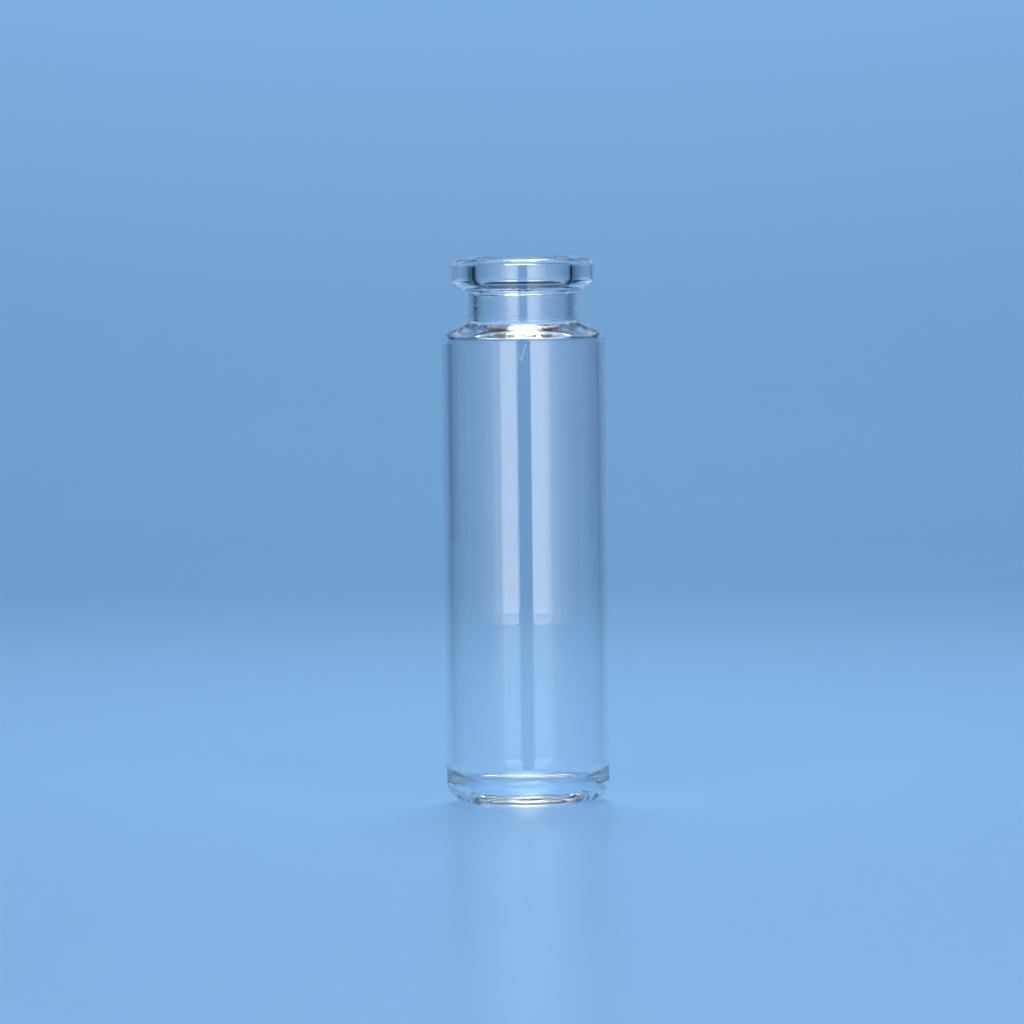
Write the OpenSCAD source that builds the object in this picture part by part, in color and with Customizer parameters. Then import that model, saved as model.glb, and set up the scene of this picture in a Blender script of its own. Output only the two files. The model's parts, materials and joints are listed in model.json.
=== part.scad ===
// Glass headspace sample vial with a bevelled 20 mm crimp finish.
// One piece of drawn glass tube: pushed-up base, straight wall, shoulder, neck and flange.
// Millimetres, +Z up. The origin is on the axis, at the level the foot stands on.

/* [Body] */
// Height from the foot to the top of the lip
height = 75.5; // [40:0.5:125]
// Outer diameter of the straight body
body_d = 22.5; // [18:0.1:32]
// Thickness of the body wall
wall = 1.15; // [0.7:0.05:1.5]

/* [Base] */
// Outside radius of the heel, where the wall turns under
heel_r = 3.4; // [2:0.1:4.5]
// Inside radius of the heel
inner_heel_r = 3.3; // [1:0.1:4]
// Thickness of the glass at the middle of the base
base_t = 1.45; // [0.8:0.05:2.5]
// How far the middle of the underside is pushed up
push_up = 0.75; // [0.1:0.05:1.2]
// Width of the flat ring that the vial stands on
foot_w = 0.7; // [0.3:0.05:1]
// Width of the slope from the foot ring up to the pushed-up middle
rise_w = 2.6; // [1:0.1:5]
// How far the middle of the floor stands above its edge
floor_rise = 0.35; // [0.05:0.05:0.8]
// Rounding of the foot ring's inner edge
foot_edge_r = 2.0; // [0.5:0.1:4]
// Rounding between the slope and the middle, both under the base and on the floor
middle_r = 20; // [5:1:40]

/* [Shoulder] */
// Slope of the shoulder's outside, down from level, in degrees
shoulder_slope = 25; // [10:0.5:40]
// Slope of its inside, flatter where the glass thickens towards the neck, in degrees
inner_slope = 17; // [5:0.5:40]
// Thickness of the shoulder where it meets the body
shoulder_t = 1.1; // [0.8:0.05:1.5]
// Outside radius where the shoulder meets the body
shoulder_r = 2.0; // [0.8:0.1:3]
// Inside radius where the shoulder meets the body
inner_shoulder_r = 0.5; // [0.2:0.1:2]

/* [Neck] */
// Outer diameter of the neck
neck_d = 15.8; // [15:0.1:16.5]
// Diameter of the bore through the neck
bore_d = 12.7; // [11:0.1:13.3]
// Height of the neck between the flange and the shoulder
neck_l = 4.5; // [3:0.1:12]
// Hollow radius from the neck to the shoulder
root_r = 0.4; // [0.2:0.1:2]
// Inside radius from the bore to the shoulder
inner_root_r = 1.0; // [0.5:0.1:3]

/* [Crimp finish] */
// Diameter of the flange
flange_d = 19.8; // [18.5:0.1:22]
// Height of the flange's outer face, measured to its unrounded edges
flange_face = 3.1; // [1.5:0.1:4]
// Fall of the bevelled top towards the edge, in degrees
bevel_slope = 12; // [4:0.5:20]
// Fall of the underside towards the neck, in degrees
under_slope = 25.5; // [10:0.5:40]
// Rounding of the flange's top edge
top_edge_r = 1.2; // [0.3:0.1:1.6]
// Rounding of the flange's bottom edge
bottom_edge_r = 1.3; // [0.2:0.05:1.6]
// Hollow radius from the underside to the neck
undercut_r = 1.3; // [0.3:0.1:2.5]
// How much farther from the axis the wall of the mouth is than the wall of the bore
mouth_step = 0.25; // [0.05:0.05:0.8]
// Depth of the opened mouth below the lip
mouth_l = 3.5; // [2.5:0.1:5]
// Length over which the mouth closes to the bore
mouth_taper = 0.5; // [0.3:0.1:1.5]
// Rounding at both ends of the mouth's taper
taper_r = 0.5; // [0.2:0.1:2]
// Fire-polished rounding of the lip
lip_r = 0.4; // [0.2:0.05:0.8]

/* [Hidden] */
$fn = 144;

// How far a corner piece reaches past its corner, so that no sliver is left
overlap = 0.2;
// Makes each arc cross the lines it is tangent to, instead of only touching them
lap = 0.0002;
// Most of a side that the roundings at its two ends may take up
side_share = 0.96;

body_r = body_d / 2;
inside_r = body_r - wall;
neck_r = neck_d / 2;
bore_r = bore_d / 2;
mouth_r = bore_r + mouth_step;
flange_r = flange_d / 2;

// The unrounded lip stands higher than the top of its arc
lip_z = height + lip_r * (tan(bevel_slope) + 1 / cos(bevel_slope) - 1);
flange_top = lip_z - (flange_r - mouth_r) * tan(bevel_slope);
flange_bottom = flange_top - flange_face;
under_z = flange_bottom - (flange_r - neck_r) * tan(under_slope);
root_z = under_z - neck_l;
mouth_z = height - mouth_l;

// Height of the outside of the shoulder at radius r
function shoulder_z(r) = root_z - (r - neck_r) * tan(shoulder_slope);

// Height of the inside of the shoulder: where it meets the body wall, and at radius r
inner_shoulder_edge = shoulder_z(inside_r) - shoulder_t / cos(shoulder_slope);
function inner_shoulder_z(r) = inner_shoulder_edge + (inside_r - r) * tan(inner_slope);

foot_r = body_r - heel_r - foot_w;
middle = foot_r - rise_w;
floor_z = push_up + base_t;

// Half section of the glass: [radius, height, rounding] of each corner,
// outwards under the base, up the outside, over the lip and down the inside
section = [
    [0, push_up, 0],
    [middle, push_up, middle_r],
    [foot_r, 0, foot_edge_r],
    [body_r, 0, heel_r],
    [body_r, shoulder_z(body_r), shoulder_r],
    [neck_r, root_z, root_r],
    [neck_r, under_z, undercut_r],
    [flange_r, flange_bottom, bottom_edge_r],
    [flange_r, flange_top, top_edge_r],
    [mouth_r, lip_z, lip_r],
    [mouth_r, mouth_z, taper_r],
    [bore_r, mouth_z - mouth_taper, taper_r],
    [bore_r, inner_shoulder_z(bore_r), inner_root_r],
    [inside_r, inner_shoulder_edge, inner_shoulder_r],
    [inside_r, floor_z - floor_rise, inner_heel_r],
    [middle, floor_z, middle_r],
    [0, floor_z, 0]
];

function point(c) = [c[0], c[1]];
function unit(v) = v / norm(v);
function corner_at(corners, i) = corners[(i + len(corners)) % len(corners)];
function side(corners, i) = point(corner_at(corners, i + 1)) - point(corner_at(corners, i));

// Cross product of the sides that meet at corner i: above zero where it is convex
function turn(corners, i) = cross(side(corners, i - 1), side(corners, i));

// Half the angle between the sides at corner i
function half_angle(corners, i) =
    acos(-unit(side(corners, i - 1)) * unit(side(corners, i))) / 2;

// How far along its sides the rounding of corner i would reach, and how far it may
function wanted(corners, i) = corner_at(corners, i)[2] / tan(half_angle(corners, i));
function fit(corners, i, j, length) =
    min(1, side_share * length / max(wanted(corners, i) + wanted(corners, j), lap));
function reach(corners, i) = wanted(corners, i) * min(
    fit(corners, i, i - 1, norm(side(corners, i - 1))),
    fit(corners, i, i + 1, norm(side(corners, i)))
);

// The piece between corner i and the arc that rounds it
module corner_piece(corners, i) {
    tip = point(corner_at(corners, i));
    back = -unit(side(corners, i - 1));
    ahead = unit(side(corners, i));
    half = half_angle(corners, i);
    length = reach(corners, i);
    centre = tip + unit(back + ahead) * length / cos(half);
    difference() {
        polygon([centre, tip + ahead * length, tip - (back + ahead) * overlap, tip + back * length]);
        translate(centre) circle(r = length * tan(half) + lap);
    }
}

// A closed outline with its convex corners cut back and its hollow corners filled to tangent arcs
module rounded(corners) {
    rounds = [for (i = [0 : len(corners) - 1]) if (corners[i][2] > 0) i];
    difference() {
        union() {
            polygon([for (c = corners) point(c)]);
            for (i = rounds) {
                if (turn(corners, i) < 0) corner_piece(corners, i);
            }
        }
        for (i = rounds) {
            if (turn(corners, i) > 0) corner_piece(corners, i);
        }
    }
}

module vial() {
    color([0.78, 0.90, 0.96, 0.45]) rotate_extrude() rounded(section);
}

vial();
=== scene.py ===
import json
import math

import bmesh
import bpy
from bpy.props import FloatProperty, FloatVectorProperty, IntProperty, PointerProperty
from mathutils import Matrix, Quaternion, Vector


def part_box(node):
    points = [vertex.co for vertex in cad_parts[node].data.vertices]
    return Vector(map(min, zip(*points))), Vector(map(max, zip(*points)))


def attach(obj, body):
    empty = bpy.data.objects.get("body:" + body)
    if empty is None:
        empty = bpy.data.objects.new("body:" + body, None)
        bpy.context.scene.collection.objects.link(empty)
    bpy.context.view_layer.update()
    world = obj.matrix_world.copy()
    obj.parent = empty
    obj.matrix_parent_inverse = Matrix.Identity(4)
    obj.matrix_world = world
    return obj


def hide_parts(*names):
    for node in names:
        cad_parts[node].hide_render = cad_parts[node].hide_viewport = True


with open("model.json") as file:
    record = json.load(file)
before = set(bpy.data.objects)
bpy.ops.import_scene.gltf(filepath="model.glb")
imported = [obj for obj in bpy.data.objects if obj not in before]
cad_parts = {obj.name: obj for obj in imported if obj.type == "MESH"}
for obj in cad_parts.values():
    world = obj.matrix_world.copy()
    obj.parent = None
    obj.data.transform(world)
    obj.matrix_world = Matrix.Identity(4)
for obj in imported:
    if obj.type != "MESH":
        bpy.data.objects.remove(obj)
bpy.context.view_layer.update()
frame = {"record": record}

bl_info = {
    "name": "Headspace Sample Vial",
    "version": (1, 0, 0),
    "blender": (4, 5, 0),
    "location": "View3D > Sidebar > Vial",
    "description": "Models a clear glass crimp-top sample vial, its glass and a pale studio",
    "category": "Add Mesh",
}

MM = 0.001
MICRON = 1e-6
UP = (0, 0, 1)
vial_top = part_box("vial")[1].z
mounts = {mount["name"]: mount["dims"] for mount in frame["record"]["mounts"]}


# Properties


def length(name, description, mm):
    """A length that is given in millimetres and kept in metres."""
    return FloatProperty(
        name=name, description=description, default=mm * MM, precision=5, unit="LENGTH"
    )


def angle(name, description, degrees):
    """An angle that is given in degrees and kept in radians."""
    return FloatProperty(
        name=name, description=description, default=math.radians(degrees), subtype="ANGLE"
    )


def amount(name, description, value):
    """A plain number that is never below zero."""
    return FloatProperty(name=name, description=description, default=value, min=0.0, precision=4)


def colour(name, description, rgb):
    """A colour, as scene-linear red, green and blue."""
    return FloatVectorProperty(
        name=name, description=description, default=rgb, min=0.0, max=1.0, subtype="COLOR"
    )


class VialSizes(bpy.types.PropertyGroup):
    """Sizes of the glass; the mounts of the frame give those that other parts fit"""

    height: length("Height", "From the foot to the top of the lip", round(vial_top / MM, 2))
    body_r: length("Body radius", "Outer radius of the straight body", mounts["body"]["r_mm"])
    wall: length("Wall", "Thickness of the body wall", 1.15)
    heel_r: length("Heel", "Outside radius where the wall turns under", 3.4)
    inner_heel_r: length("Inner heel", "Inside radius where the wall turns into the floor", 3.3)
    base_t: length("Base", "Thickness of the middle of the base", 1.45)
    push_up: length("Push-up", "How far the middle of the underside is pushed up", 0.75)
    foot_w: length("Foot", "Width of the flat ring that the vial stands on", 0.7)
    rise_w: length("Rise", "Width of the slope from the foot ring to the middle", 2.6)
    floor_rise: length("Floor rise", "How far the middle of the floor stands above its edge", 0.35)
    foot_edge_r: length("Foot edge", "Rounding of the foot ring's inner edge", 2.0)
    middle_r: length("Middle rounding", "Rounding from the slope to the middle of the base", 20.0)
    shoulder_slope: angle("Shoulder slope", "Fall of the shoulder's outside from level", 25.0)
    inner_slope: angle("Inner slope", "Fall of the shoulder's inside from level", 17.0)
    shoulder_t: length("Shoulder", "Thickness of the shoulder where it meets the body", 1.1)
    shoulder_r: length("Shoulder rounding", "Outside radius from shoulder to body", 2.0)
    inner_shoulder_r: length("Inner shoulder", "Inside radius from shoulder to body", 0.5)
    neck_r: length("Neck radius", "Outer radius of the neck", 7.9)
    neck_l: length("Neck length", "From the flange's underside to the shoulder", 4.5)
    root_r: length("Neck root", "Hollow radius from the neck to the shoulder", 0.4)
    inner_root_r: length("Inner root", "Inside radius from the bore to the shoulder", 1.0)
    flange_r: length("Flange radius", "Outer radius of the flange", mounts["crimp_flange"]["r_mm"])
    flange_face: length("Flange face", "Height of the flange's face before it is rounded", 3.1)
    bevel_slope: angle("Bevel slope", "Fall of the flange's top towards its edge", 12.0)
    under_slope: angle("Under slope", "Fall of the flange's underside towards the neck", 25.5)
    top_edge_r: length("Top edge", "Rounding of the flange's top edge", 1.2)
    bottom_edge_r: length("Bottom edge", "Rounding of the flange's bottom edge", 1.3)
    undercut_r: length("Undercut", "Hollow radius from the underside to the neck", 1.3)
    mouth_r: length("Mouth radius", "Radius of the opened mouth", mounts["mouth"]["r_mm"])
    mouth_step: length("Mouth step", "How much wider the mouth is than the bore, in radius", 0.25)
    mouth_l: length("Mouth depth", "Depth of the opened mouth below the lip", 3.5)
    mouth_taper: length("Mouth taper", "Length over which the mouth closes to the bore", 0.5)
    taper_r: length("Taper rounding", "Rounding at both ends of the taper", 0.5)
    lip_r: length("Lip", "Fire-polished rounding of the lip", 0.4)
    turns: IntProperty(
        name="Steps round", description="Steps of the full spin", default=224, min=24
    )
    arc_step: angle("Arc step", "Most that the section turns in one step of a rounding", 5.0)
    ring_gap: length("Ring gap", "Most that two rings of a straight stretch stand apart", 2.0)


class GlassLook(bpy.types.PropertyGroup):
    """Finish of the glass: colour, polish and the marks of forming"""

    ior: amount("IOR", "Refractive index of borosilicate glass", 1.48)
    tint: colour("Tint", "Colour that a thick stretch of the glass takes on", (0.62, 0.80, 0.84))
    density: amount("Tint density", "How strongly the tint comes in, per metre", 5.0)
    polish: amount("Polish", "Roughness of the fire-polished surface", 0.0)
    tooled: amount("Tooled roughness", "Roughness where the neck was rolled to shape", 0.15)
    draw_height: amount("Draw lines", "Height of the lines along the tube, in microns", 3.0)
    tool_height: amount("Tool rings", "Height of the rings round the neck, in microns", 42.0)
    tool_fade: length("Tool fade", "How far the rings fade out past both ends of the neck", 0.8)
    base_height: amount("Base waves", "Height of the waves in the base, in microns", 120.0)
    base_fade: length("Base fade", "How far the waves fade out up the wall", 1.5)
    scratch_depth: amount("Scratch", "Depth of the scratch under the shoulder, in microns", 12.0)
    scratch_rough: amount("Scratch roughness", "Roughness in the scratch", 0.3)


class StudioLook(bpy.types.PropertyGroup):
    """The floor, the backdrop and the lamps"""

    ground: colour("Ground", "Colour of the floor and the backdrop", (0.270, 0.530, 0.870))
    paper_rough: amount("Paper roughness", "Roughness of the paper's sheen", 0.27)
    paper_sheen: amount("Paper sheen", "How strongly the paper mirrors", 0.18)
    paper_grain: amount("Paper grain", "How strongly the paper's grain shows", 0.02)
    reach: length("Reach", "Radius of the backdrop round the vial", 1500.0)
    rim: length("Rim", "Height at which the backdrop ends", 1450.0)
    cove: length("Cove", "Radius between the floor and the backdrop", 900.0)
    gap: length("Gap", "How far the floor lies under the foot", 0.05)
    fill: amount("Fill", "Strength of the even light on the floor and the backdrop", 0.20)
    dark: colour("Dark", "What the glass mirrors beyond the stage", (0.045, 0.032, 0.028))
    felt: colour("Felt", "Colour of the dark cards", (0.020, 0.016, 0.014))
    felt_nap: amount("Felt nap", "How strongly the felt's nap shows", 0.2)
    pale_share: amount("Pale card", "Colour of the pale card, as a share of the ground's", 0.4)
    navy_share: amount("Valance", "Colour of the valance, as a share of the ground's", 0.1)
    flag_distance: length("Flag distance", "From the axis to the upright cards", 700.0)
    flag_height: length("Flag height", "Height of the upright cards", 450.0)
    batten_distance: length("Batten distance", "From the axis to batten and valance", 1300.0)
    batten_low: length("Batten low edge", "Height of the batten's lower edge", 428.0)
    batten_high: length("Batten high edge", "Height of the batten's upper edge", 543.0)
    valance_low: length("Valance low edge", "Height of the valance's lower edge", 562.0)
    valance_high: length("Valance high edge", "Height of the valance's upper edge", 680.0)
    box_distance: length("Softbox distance", "From the axis to the upright softboxes", 454.0)
    box_height: length("Softbox height", "Height of the upright softboxes", 600.0)
    left_box: amount("Left softbox", "How bright the face of the left softbox is", 1.8)
    right_box: amount("Right softbox", "How bright the face of the right softbox is", 2.2)
    strip: amount("Strip", "How bright the face of the strip overhead is", 8.0)
    wash: amount("Wash", "How bright the face of the backdrop's lamp is", 5.0)


class CameraPlace(bpy.types.PropertyGroup):
    """Where the camera stands and how it looks"""

    aside: length("Aside", "How far the camera stands right of the axis", -1.82)
    distance: length("Distance", "From the camera to the axis", 890.0)
    eye: length("Eye height", "Height of the camera over the floor", 75.0)
    aim: length("Aim height", "Height on the axis that it looks at", 40.22)
    view: angle("Field of view", "Width of the view", 9.074)
    roll: angle("Roll", "How far the camera leans over", -0.65)


# Modelling


def half_section(s):
    """(radius, height, rounding) of each corner of the glass: outwards under the base, up the
    outside, over the lip and down the inside."""
    inside_r = s.body_r - s.wall
    bore_r = s.mouth_r - s.mouth_step
    lip_z = s.height + s.lip_r * (math.tan(s.bevel_slope) + 1 / math.cos(s.bevel_slope) - 1)
    flange_top = lip_z - (s.flange_r - s.mouth_r) * math.tan(s.bevel_slope)
    flange_bottom = flange_top - s.flange_face
    under_z = flange_bottom - (s.flange_r - s.neck_r) * math.tan(s.under_slope)
    root_z = under_z - s.neck_l
    mouth_z = s.height - s.mouth_l
    shoulder_z = root_z - (s.body_r - s.neck_r) * math.tan(s.shoulder_slope)
    inner_z = shoulder_z + s.wall * math.tan(s.shoulder_slope)
    inner_z -= s.shoulder_t / math.cos(s.shoulder_slope)
    inner_root_z = inner_z + (inside_r - bore_r) * math.tan(s.inner_slope)
    foot_r = s.body_r - s.heel_r - s.foot_w
    middle = foot_r - s.rise_w
    floor_z = s.push_up + s.base_t
    return [
        (0, s.push_up, 0),
        (middle, s.push_up, s.middle_r),
        (foot_r, 0, s.foot_edge_r),
        (s.body_r, 0, s.heel_r),
        (s.body_r, shoulder_z, s.shoulder_r),
        (s.neck_r, root_z, s.root_r),
        (s.neck_r, under_z, s.undercut_r),
        (s.flange_r, flange_bottom, s.bottom_edge_r),
        (s.flange_r, flange_top, s.top_edge_r),
        (s.mouth_r, lip_z, s.lip_r),
        (s.mouth_r, mouth_z, s.taper_r),
        (bore_r, mouth_z - s.mouth_taper, s.taper_r),
        (bore_r, inner_root_z, s.inner_root_r),
        (inside_r, inner_z, s.inner_shoulder_r),
        (inside_r, floor_z - s.floor_rise, s.inner_heel_r),
        (middle, floor_z, s.middle_r),
        (0, floor_z, 0),
    ]


def draw_line(bm, tip, end, gap, edge=0.12 * MM):
    """Draws a straight stretch from the vertex tip to end, with a short step at both ends that
    keeps the shading of the roundings off it. Returns its last vertex."""
    start = tip.co.copy()
    span = end - start
    if span.length < MICRON:
        return tip
    near = min(edge / span.length, 1 / 3)
    count = max(1, round(span.length / gap))
    stops = [near + (1 - 2 * near) * i / count for i in range(count + 1)] + [1.0]
    for stop in stops:
        tip = bmesh.ops.extrude_vert_indiv(bm, verts=[tip])["verts"][0]
        tip.co = start + span * stop
    return tip


def spin(bm, geom, centre, axis, turn, steps, close=False):
    """Spins vertices and edges about an axis through centre. A full turn closes on itself."""
    return bmesh.ops.spin(
        bm, geom=geom, cent=centre, axis=axis, dvec=(0, 0, 0), angle=turn, space=Matrix(),
        steps=steps, use_merge=close, use_normal_flip=False, use_duplicate=False,
    )


def draw_arc(bm, tip, centre, turn, steps):
    """Turns the vertex tip about centre, in the plane of the section. Returns the last vertex."""
    out = spin(bm, [tip], centre, (0, math.copysign(1, turn), 0), abs(turn), steps)
    return next(e for e in out["geom_last"] if isinstance(e, bmesh.types.BMVert))


def draw_section(bm, corners, arc_step, gap, side_share=0.96, fewest=4):
    """Draws a chain of edges through the corners, each rounded by an arc that is tangent to both
    of its sides. Two roundings that share a side take at most side_share of it, and an arc has
    at least the fewest steps."""
    points = [Vector((r, 0, z)) for r, z, _ in corners]
    inner = range(1, len(points) - 1)
    back = {i: (points[i - 1] - points[i]).normalized() for i in inner}
    ahead = {i: (points[i + 1] - points[i]).normalized() for i in inner}
    half = {i: back[i].angle(ahead[i]) / 2 for i in inner}
    wanted = {i: corners[i][2] / math.tan(half[i]) for i in inner}

    def share(i, j):
        side = (points[j] - points[i]).length
        return min(1.0, side_share * side / max(wanted[i] + wanted.get(j, 0.0), MICRON))

    tip = bm.verts.new(points[0])
    for i in inner:
        reach = wanted[i] * min(share(i, i - 1), share(i, i + 1))
        tip = draw_line(bm, tip, points[i] + back[i] * reach, gap)
        if reach > MICRON:
            centre = points[i] + (back[i] + ahead[i]).normalized() * reach / math.cos(half[i])
            turn = math.copysign(math.pi - 2 * half[i], ahead[i].cross(back[i]).y)
            tip = draw_arc(bm, tip, centre, turn, max(fewest, int(abs(turn) / arc_step)))
    draw_line(bm, tip, points[-1], gap)


def spin_round(bm, steps):
    """Spins the section once round the Z axis, and closes its seam and its poles."""
    spin(bm, bm.verts[:] + bm.edges[:], (0, 0, 0), UP, math.tau, steps, close=True)
    bmesh.ops.remove_doubles(bm, verts=bm.verts[:], dist=MICRON)
    bmesh.ops.recalc_face_normals(bm, faces=bm.faces[:])


def shown(bm, name):
    """Puts a bmesh into the scene as a smooth object at the origin."""
    for face in bm.faces:
        face.smooth = True
    mesh = bpy.data.meshes.new(name)
    bm.to_mesh(mesh)
    bm.free()
    piece = bpy.data.objects.new(name, mesh)
    bpy.context.scene.collection.objects.link(piece)
    return piece


# Materials


def new_material(name):
    """An empty node tree in a new material, with its output node."""
    material = bpy.data.materials.new(name)
    material.use_nodes = True
    tree = material.node_tree
    tree.nodes.clear()
    return material, tree, tree.nodes.new("ShaderNodeOutputMaterial")


def add(tree, kind, inputs=None, **settings):
    """Adds a node. Each input, by name or number, is a value or another node's output."""
    node = tree.nodes.new("ShaderNode" + kind)
    for name, value in settings.items():
        setattr(node, name, value)
    for name, value in (inputs or {}).items():
        if isinstance(value, bpy.types.NodeSocket):
            tree.links.new(value, node.inputs[name])
        else:
            node.inputs[name].default_value = value
    return node


def maths(tree, operation, result, *values):
    """The values joined from left to right by Math nodes, as in a sum or a product."""
    for value in values:
        result = add(tree, "Math", {0: result, 1: value}, operation=operation).outputs[0]
    return result


def waves(tree, place, size, detail=2.0):
    """Noise from -0.5 to 0.5 whose waves are about as long as size, along X, Y and Z."""
    scaled = add(tree, "Mapping", {"Vector": place, "Scale": [1 / s for s in size]}).outputs[0]
    cloud = add(tree, "TexNoise", {
        "Vector": scaled,
        "Scale": 1.0,
        "Detail": detail,
        "Roughness": 0.5,
    })
    return maths(tree, "SUBTRACT", cloud.outputs["Fac"], 0.5)


def ease(tree, value, start, end):
    """0 where value is start, rising smoothly to 1 where it is end."""
    return add(
        tree, "MapRange", {"Value": value, "From Min": start, "From Max": end},
        interpolation_type="SMOOTHSTEP",
    ).outputs[0]


def band(tree, value, low, high, soft):
    """1 where value lies between low and high, falling to 0 over soft on both sides."""
    rise = ease(tree, value, low - soft, low)
    fall = ease(tree, value, high + soft, high)
    return maths(tree, "MULTIPLY", rise, fall)


def stroke(tree, place, start, end, width):
    """1 on the straight line from start to end, falling to 0 at half its width."""
    run = end - start
    offset = add(tree, "VectorMath", {0: place, 1: start}, operation="SUBTRACT").outputs[0]
    per_run = run / run.length_squared
    along = add(tree, "VectorMath", {0: offset, 1: per_run}, operation="DOT_PRODUCT")
    part = add(tree, "Clamp", {"Value": along.outputs["Value"]}).outputs[0]
    foot = add(tree, "VectorMath", {0: run, "Scale": part}, operation="SCALE").outputs[0]
    away = add(tree, "VectorMath", {0: offset, 1: foot}, operation="DISTANCE")
    return ease(tree, away.outputs["Value"], width / 2, 0.0)


def scratch_mark(tree, place, front):
    """1 in the scratch: two strokes on the front of the glass that meet in a V."""
    long_end = front + Vector((0.35, 0.0, 63.6)) * MM
    short_end = front + Vector((-0.75, 0.0, 62.6)) * MM
    knee = front + Vector((-0.35, 0.0, 61.2)) * MM
    return maths(
        tree, "MAXIMUM",
        stroke(tree, place, long_end, knee, width=0.16 * MM),
        stroke(tree, place, short_end, knee, width=0.12 * MM),
    )


def glass_material(s, look):
    """Clear tube glass: a faint tint in depth, draw lines along the tube, tool rings round the
    neck and under the flange, slow waves in the base and a shallow scratch under the shoulder."""
    material, tree, output = new_material("clear_glass")
    place = add(tree, "TexCoord").outputs["Object"]
    z = add(tree, "SeparateXYZ", {0: place}).outputs["Z"]

    # Heights of the neck's lower and upper ends and of the floor inside
    corners = half_section(s)
    root_z = corners[5][1]
    under_z = corners[6][1]
    floor_z = corners[-1][1]

    lines = waves(tree, place, (1.4 * MM, 1.4 * MM, 60 * MM))
    rings = waves(tree, place, (1.6 * MM, 1.6 * MM, 0.5 * MM))
    swells = waves(tree, place, (6 * MM, 6 * MM, 3 * MM), detail=1.0)
    neck = band(tree, z, root_z, under_z, look.tool_fade)
    base = band(tree, z, -1 * MM, floor_z, look.base_fade)
    scratch = scratch_mark(tree, place, Vector((0.0, -s.body_r, 0.0)))

    drawn = maths(tree, "MULTIPLY", lines, look.draw_height)
    tooled = maths(tree, "MULTIPLY", rings, neck, look.tool_height)
    settled = maths(tree, "MULTIPLY", swells, base, look.base_height)
    cut = maths(tree, "MULTIPLY", scratch, -look.scratch_depth)
    height = maths(tree, "ADD", drawn, tooled, settled, cut)
    normal = add(tree, "Bump", {"Strength": 1.0, "Distance": MICRON, "Height": height}).outputs[0]

    worked = maths(tree, "MULTIPLY", maths(tree, "ADD", rings, 0.5), neck, look.tooled)
    scored = maths(tree, "MULTIPLY", scratch, look.scratch_rough)
    rough = maths(tree, "ADD", worked, look.polish, scored)

    shader = add(tree, "BsdfPrincipled", {
        "Base Color": (1.0, 1.0, 1.0, 1.0),
        "Roughness": rough,
        "IOR": look.ior,
        "Transmission Weight": 1.0,
        "Normal": normal,
    })
    depth = add(tree, "VolumeAbsorption", {"Color": (*look.tint, 1.0), "Density": look.density})
    tree.links.new(shader.outputs[0], output.inputs["Surface"])
    tree.links.new(depth.outputs[0], output.inputs["Volume"])
    return material


def ground_material(studio):
    """Plain paper with a soft sheen, and a grain too fine to see from the camera."""
    material, tree, output = new_material("studio_paper")
    place = add(tree, "TexCoord").outputs["Object"]
    grain = waves(tree, place, (4 * MM, 4 * MM, 4 * MM))
    relief = {"Strength": studio.paper_grain, "Distance": MM, "Height": grain}
    normal = add(tree, "Bump", relief).outputs[0]
    shader = add(tree, "BsdfPrincipled", {
        "Base Color": (*studio.ground, 1.0),
        "Roughness": studio.paper_rough,
        "Specular IOR Level": studio.paper_sheen,
        "Normal": normal,
    })
    tree.links.new(shader.outputs[0], output.inputs["Surface"])
    return material


def felt_material(name, rgb, strength):
    """Matt felt with a fine, uneven nap of the given strength."""
    material, tree, output = new_material(name)
    place = add(tree, "TexCoord").outputs["Object"]
    nap = waves(tree, place, (2 * MM, 2 * MM, 2 * MM))
    normal = add(tree, "Bump", {"Strength": strength, "Distance": MM, "Height": nap}).outputs[0]
    rough = maths(tree, "ADD", nap, 0.5)
    shader = add(tree, "BsdfDiffuse", {"Color": (*rgb, 1.0), "Roughness": rough, "Normal": normal})
    tree.links.new(shader.outputs[0], output.inputs["Surface"])
    return material


# Studio


def make_backdrop(studio, arc_step=math.radians(5), turns=96):
    """One seamless bowl of paper: a floor that curves up until it is cut off at the rim."""
    bm = bmesh.new()
    low = -studio.gap
    high = 2 * studio.cove
    corners = [(0.0, low, 0.0), (studio.reach, low, studio.cove), (studio.reach, high, 0.0)]
    draw_section(bm, corners, arc_step, studio.reach)
    bmesh.ops.bisect_plane(
        bm, geom=bm.verts[:] + bm.edges[:], dist=MICRON, plane_co=(0, 0, studio.rim), plane_no=UP,
        clear_outer=True,
    )
    spin_round(bm, turns)
    bowl = shown(bm, "backdrop")
    bowl.data.materials.append(ground_material(studio))


def make_card(name, start, end, distance, low, high, felt, steps=12):
    """A curved card that stands round the vial from low to high, between two bearings, in
    degrees to the right of the camera."""
    bm = bmesh.new()
    turned = Matrix.Rotation(math.radians(start), 4, "Z")
    foot = bm.verts.new(turned @ Vector((0.0, -distance, low)))
    spin(bm, [foot], (0, 0, 0), UP, math.radians(end - start), steps)
    wall = bmesh.ops.extrude_edge_only(bm, edges=bm.edges[:])["geom"]
    top = [e for e in wall if isinstance(e, bmesh.types.BMVert)]
    bmesh.ops.translate(bm, verts=top, vec=(0.0, 0.0, high - low))
    card = shown(bm, name)
    card.data.materials.append(felt)


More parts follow.
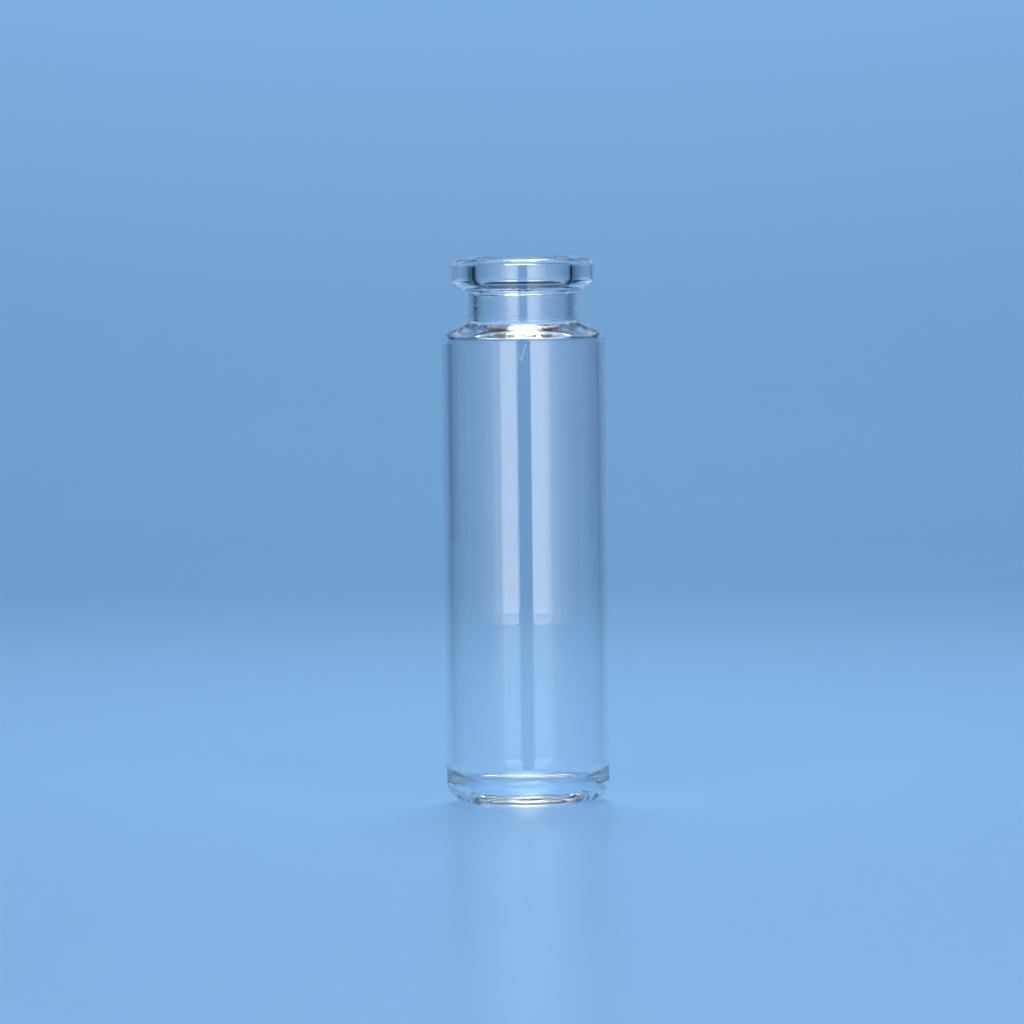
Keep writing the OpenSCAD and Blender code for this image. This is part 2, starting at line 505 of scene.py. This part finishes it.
def make_cards(studio):
    """Cards that the glass mirrors as its outlines: two dark uprights for the bore, a paler one
    beyond the left one, a dark batten behind for the flange's underside, and a dark blue valance
    over it for the bevel."""
    ground = Vector(studio.ground)
    dark = felt_material("dark_felt", studio.felt, studio.felt_nap)
    pale = felt_material("blue_felt", studio.pale_share * ground, studio.felt_nap)
    navy = felt_material("navy_felt", studio.navy_share * ground, studio.felt_nap)
    near = studio.flag_distance
    far = studio.batten_distance
    for name, start, end, distance, low, high, felt in (
        ("card_left", -108.0, -122.0, near, 0.0, studio.flag_height, dark),
        ("card_right", 108.0, 121.0, near, 0.0, studio.flag_height, dark),
        ("card_pale", -122.0, -136.0, near, 0.0, studio.flag_height, pale),
        ("batten", 125.0, 235.0, far, studio.batten_low, studio.batten_high, dark),
        ("valance", 150.0, 210.0, far, studio.valance_low, studio.valance_high, navy),
    ):
        make_card(name, start, end, distance, low, high, felt)


def add_lamp(name, place, aim, width, height, radiance, seen=True, lights=True):
    """An area lamp that faces aim. Its power is worked out from how bright its face is. The glass
    mirrors it if it is seen, and the paper takes light from it if it lights."""
    light = bpy.data.lights.new(name, "AREA")
    light.shape = "RECTANGLE"
    light.size = width
    light.size_y = height
    light.energy = radiance * math.pi * width * height
    lamp = bpy.data.objects.new(name, light)
    lamp.location = place
    lamp.rotation_mode = "QUATERNION"
    lamp.rotation_quaternion = (Vector(aim) - Vector(place)).to_track_quat("-Z", "Y")
    lamp.visible_diffuse = lights
    lamp.visible_glossy = seen
    lamp.visible_transmission = seen
    bpy.context.scene.collection.objects.link(lamp)


def add_softbox(name, studio, start, end, radiance, lights=True):
    """An upright softbox on the floor, between two bearings from the vial, in degrees to the
    right of the camera."""
    middle = math.radians(start + end) / 2
    half = math.radians(end - start) / 2
    out = Vector((math.sin(middle), -math.cos(middle), 0.0)) * studio.box_distance
    rise = Vector((0.0, 0.0, studio.box_height / 2))
    width = 2 * studio.box_distance * math.tan(half)
    add_lamp(name, out + rise, rise, width, studio.box_height, radiance, lights=lights)


def light_studio(studio):
    """Two upright softboxes in front, wings beside them that light only the glass, a strip
    overhead that reaches behind the vial, a wash for the backdrop that the glass doesn't mirror,
    and an even fill."""
    # Bearings of the softboxes' edges, from left to right
    left, left_inner, right_inner, right = -34.4, -11.2, 9.4, 37.1
    add_softbox("softbox_left", studio, left, left_inner, studio.left_box)
    add_softbox("softbox_right", studio, right_inner, right, studio.right_box)

    # Each wing is paler than the one inside it, so that the softboxes fade out sideways
    wing = 13.0
    for step, radiance in enumerate((0.85, 0.40, 0.15)):
        near = step * wing
        far = near + wing
        add_softbox("wing_left", studio, left - far, left - near, radiance, lights=False)
        add_softbox("wing_right", studio, right + near, right + far, radiance, lights=False)

    add_lamp(
        "strip_overhead", place=(0.014, 0.18, 0.55), aim=(0.014, 0.18, 0.0),
        width=0.178, height=0.56, radiance=studio.strip,
    )
    add_lamp(
        "backdrop_wash", place=(0.0, 0.9, 0.7), aim=(0.0, 1.5, 0.3),
        width=1.2, height=0.2, radiance=studio.wash, seen=False,
    )
    set_world(studio)


def set_world(studio):
    """White fill for the paper and the cards, and the dark that the glass mirrors."""
    world = bpy.data.worlds.new("studio")
    bpy.context.scene.world = world
    world.use_nodes = True
    tree = world.node_tree
    tree.nodes.clear()
    bounced = maths(tree, "GREATER_THAN", add(tree, "LightPath").outputs["Diffuse Depth"], 0.5)
    fill = add(tree, "Background", {"Color": (1.0, 1.0, 1.0, 1.0), "Strength": studio.fill})
    dark = add(tree, "Background", {"Color": (*studio.dark, 1.0), "Strength": 1.0})
    mixed = add(tree, "MixShader", {0: bounced, 1: dark.outputs[0], 2: fill.outputs[0]})
    output = tree.nodes.new("ShaderNodeOutputWorld")
    tree.links.new(mixed.outputs[0], output.inputs["Surface"])


def trace_glass(cycles, bounces=512):
    """Follows light along the wall, where the heel sends it up as in a light guide. The lamps
    stay sharp on the paper under the glass, and the spot that the base gathers there is held
    back."""
    cycles.diffuse_bounces = 2
    cycles.max_bounces = bounces
    cycles.glossy_bounces = bounces
    cycles.transmission_bounces = bounces
    cycles.blur_glossy = 0.0
    cycles.sample_clamp_indirect = 5.0


def set_camera(place):
    """A long lens level with the mouth of the vial, tilted down at its middle."""
    lens = bpy.data.cameras.new("camera")
    lens.sensor_width = 36.0
    lens.lens = lens.sensor_width / 2 / math.tan(place.view / 2)
    lens.clip_start = 0.01
    camera = bpy.data.objects.new("camera", lens)
    camera.location = (place.aside, -place.distance, place.eye)
    look = Vector((place.aside, 0.0, place.aim)) - camera.location
    camera.rotation_mode = "QUATERNION"
    camera.rotation_quaternion = look.to_track_quat("-Z", "Y") @ Quaternion((0, 0, 1), place.roll)
    bpy.context.scene.collection.objects.link(camera)
    bpy.context.scene.camera = camera


# Operators


class VIAL_OT_glass(bpy.types.Operator):
    """Spin the vial from its half section and give it its glass"""

    bl_idname = "vial.glass"
    bl_label = "Glass Vial"
    bl_options = {"REGISTER", "UNDO"}

    def execute(self, context):
        sizes = context.scene.vial_sizes
        bm = bmesh.new()
        draw_section(bm, half_section(sizes), sizes.arc_step, sizes.ring_gap)
        spin_round(bm, sizes.turns)
        if any(not edge.is_manifold for edge in bm.edges):
            raise RuntimeError("the glass isn't closed: check the sizes of its section")
        piece = shown(bm, "vial_glass")
        piece.data.materials.append(glass_material(sizes, context.scene.vial_glass))
        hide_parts("vial")
        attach(piece, "root")
        return {"FINISHED"}


class VIAL_OT_studio(bpy.types.Operator):
    """Set up the backdrop, the lamps and the camera"""

    bl_idname = "vial.studio"
    bl_label = "Studio"
    bl_options = {"REGISTER", "UNDO"}

    def execute(self, context):
        scene = context.scene
        make_backdrop(scene.vial_studio)
        make_cards(scene.vial_studio)
        light_studio(scene.vial_studio)
        set_camera(scene.vial_camera)
        scene.view_settings.view_transform = "Standard"
        trace_glass(scene.cycles)
        return {"FINISHED"}


class VIAL_PT_panel(bpy.types.Panel):
    """Lists the steps that make the vial"""

    bl_idname = "VIAL_PT_panel"
    bl_label = "Sample Vial"
    bl_space_type = "VIEW_3D"
    bl_region_type = "UI"
    bl_category = "Vial"

    def draw(self, context):
        column = self.layout.column()
        for step in STEPS:
            column.operator(step.bl_idname)
        for group in GROUPS:
            settings = getattr(context.scene, group)
            box = self.layout.box()
            for name in settings.bl_rna.properties.keys():
                if name not in ("rna_type", "name"):
                    box.prop(settings, name)


STEPS = (VIAL_OT_glass, VIAL_OT_studio)
GROUPS = {
    "vial_sizes": VialSizes,
    "vial_glass": GlassLook,
    "vial_studio": StudioLook,
    "vial_camera": CameraPlace,
}
CLASSES = (*GROUPS.values(), *STEPS, VIAL_PT_panel)


def register():
    for cls in CLASSES:
        bpy.utils.register_class(cls)
    for name, group in GROUPS.items():
        setattr(bpy.types.Scene, name, PointerProperty(type=group))


def unregister():
    for name in GROUPS:
        delattr(bpy.types.Scene, name)
    for cls in reversed(CLASSES):
        bpy.utils.unregister_class(cls)


def main():
    register()
    bpy.ops.vial.glass()
    bpy.ops.vial.studio()


if __name__ == "__main__":
    main()
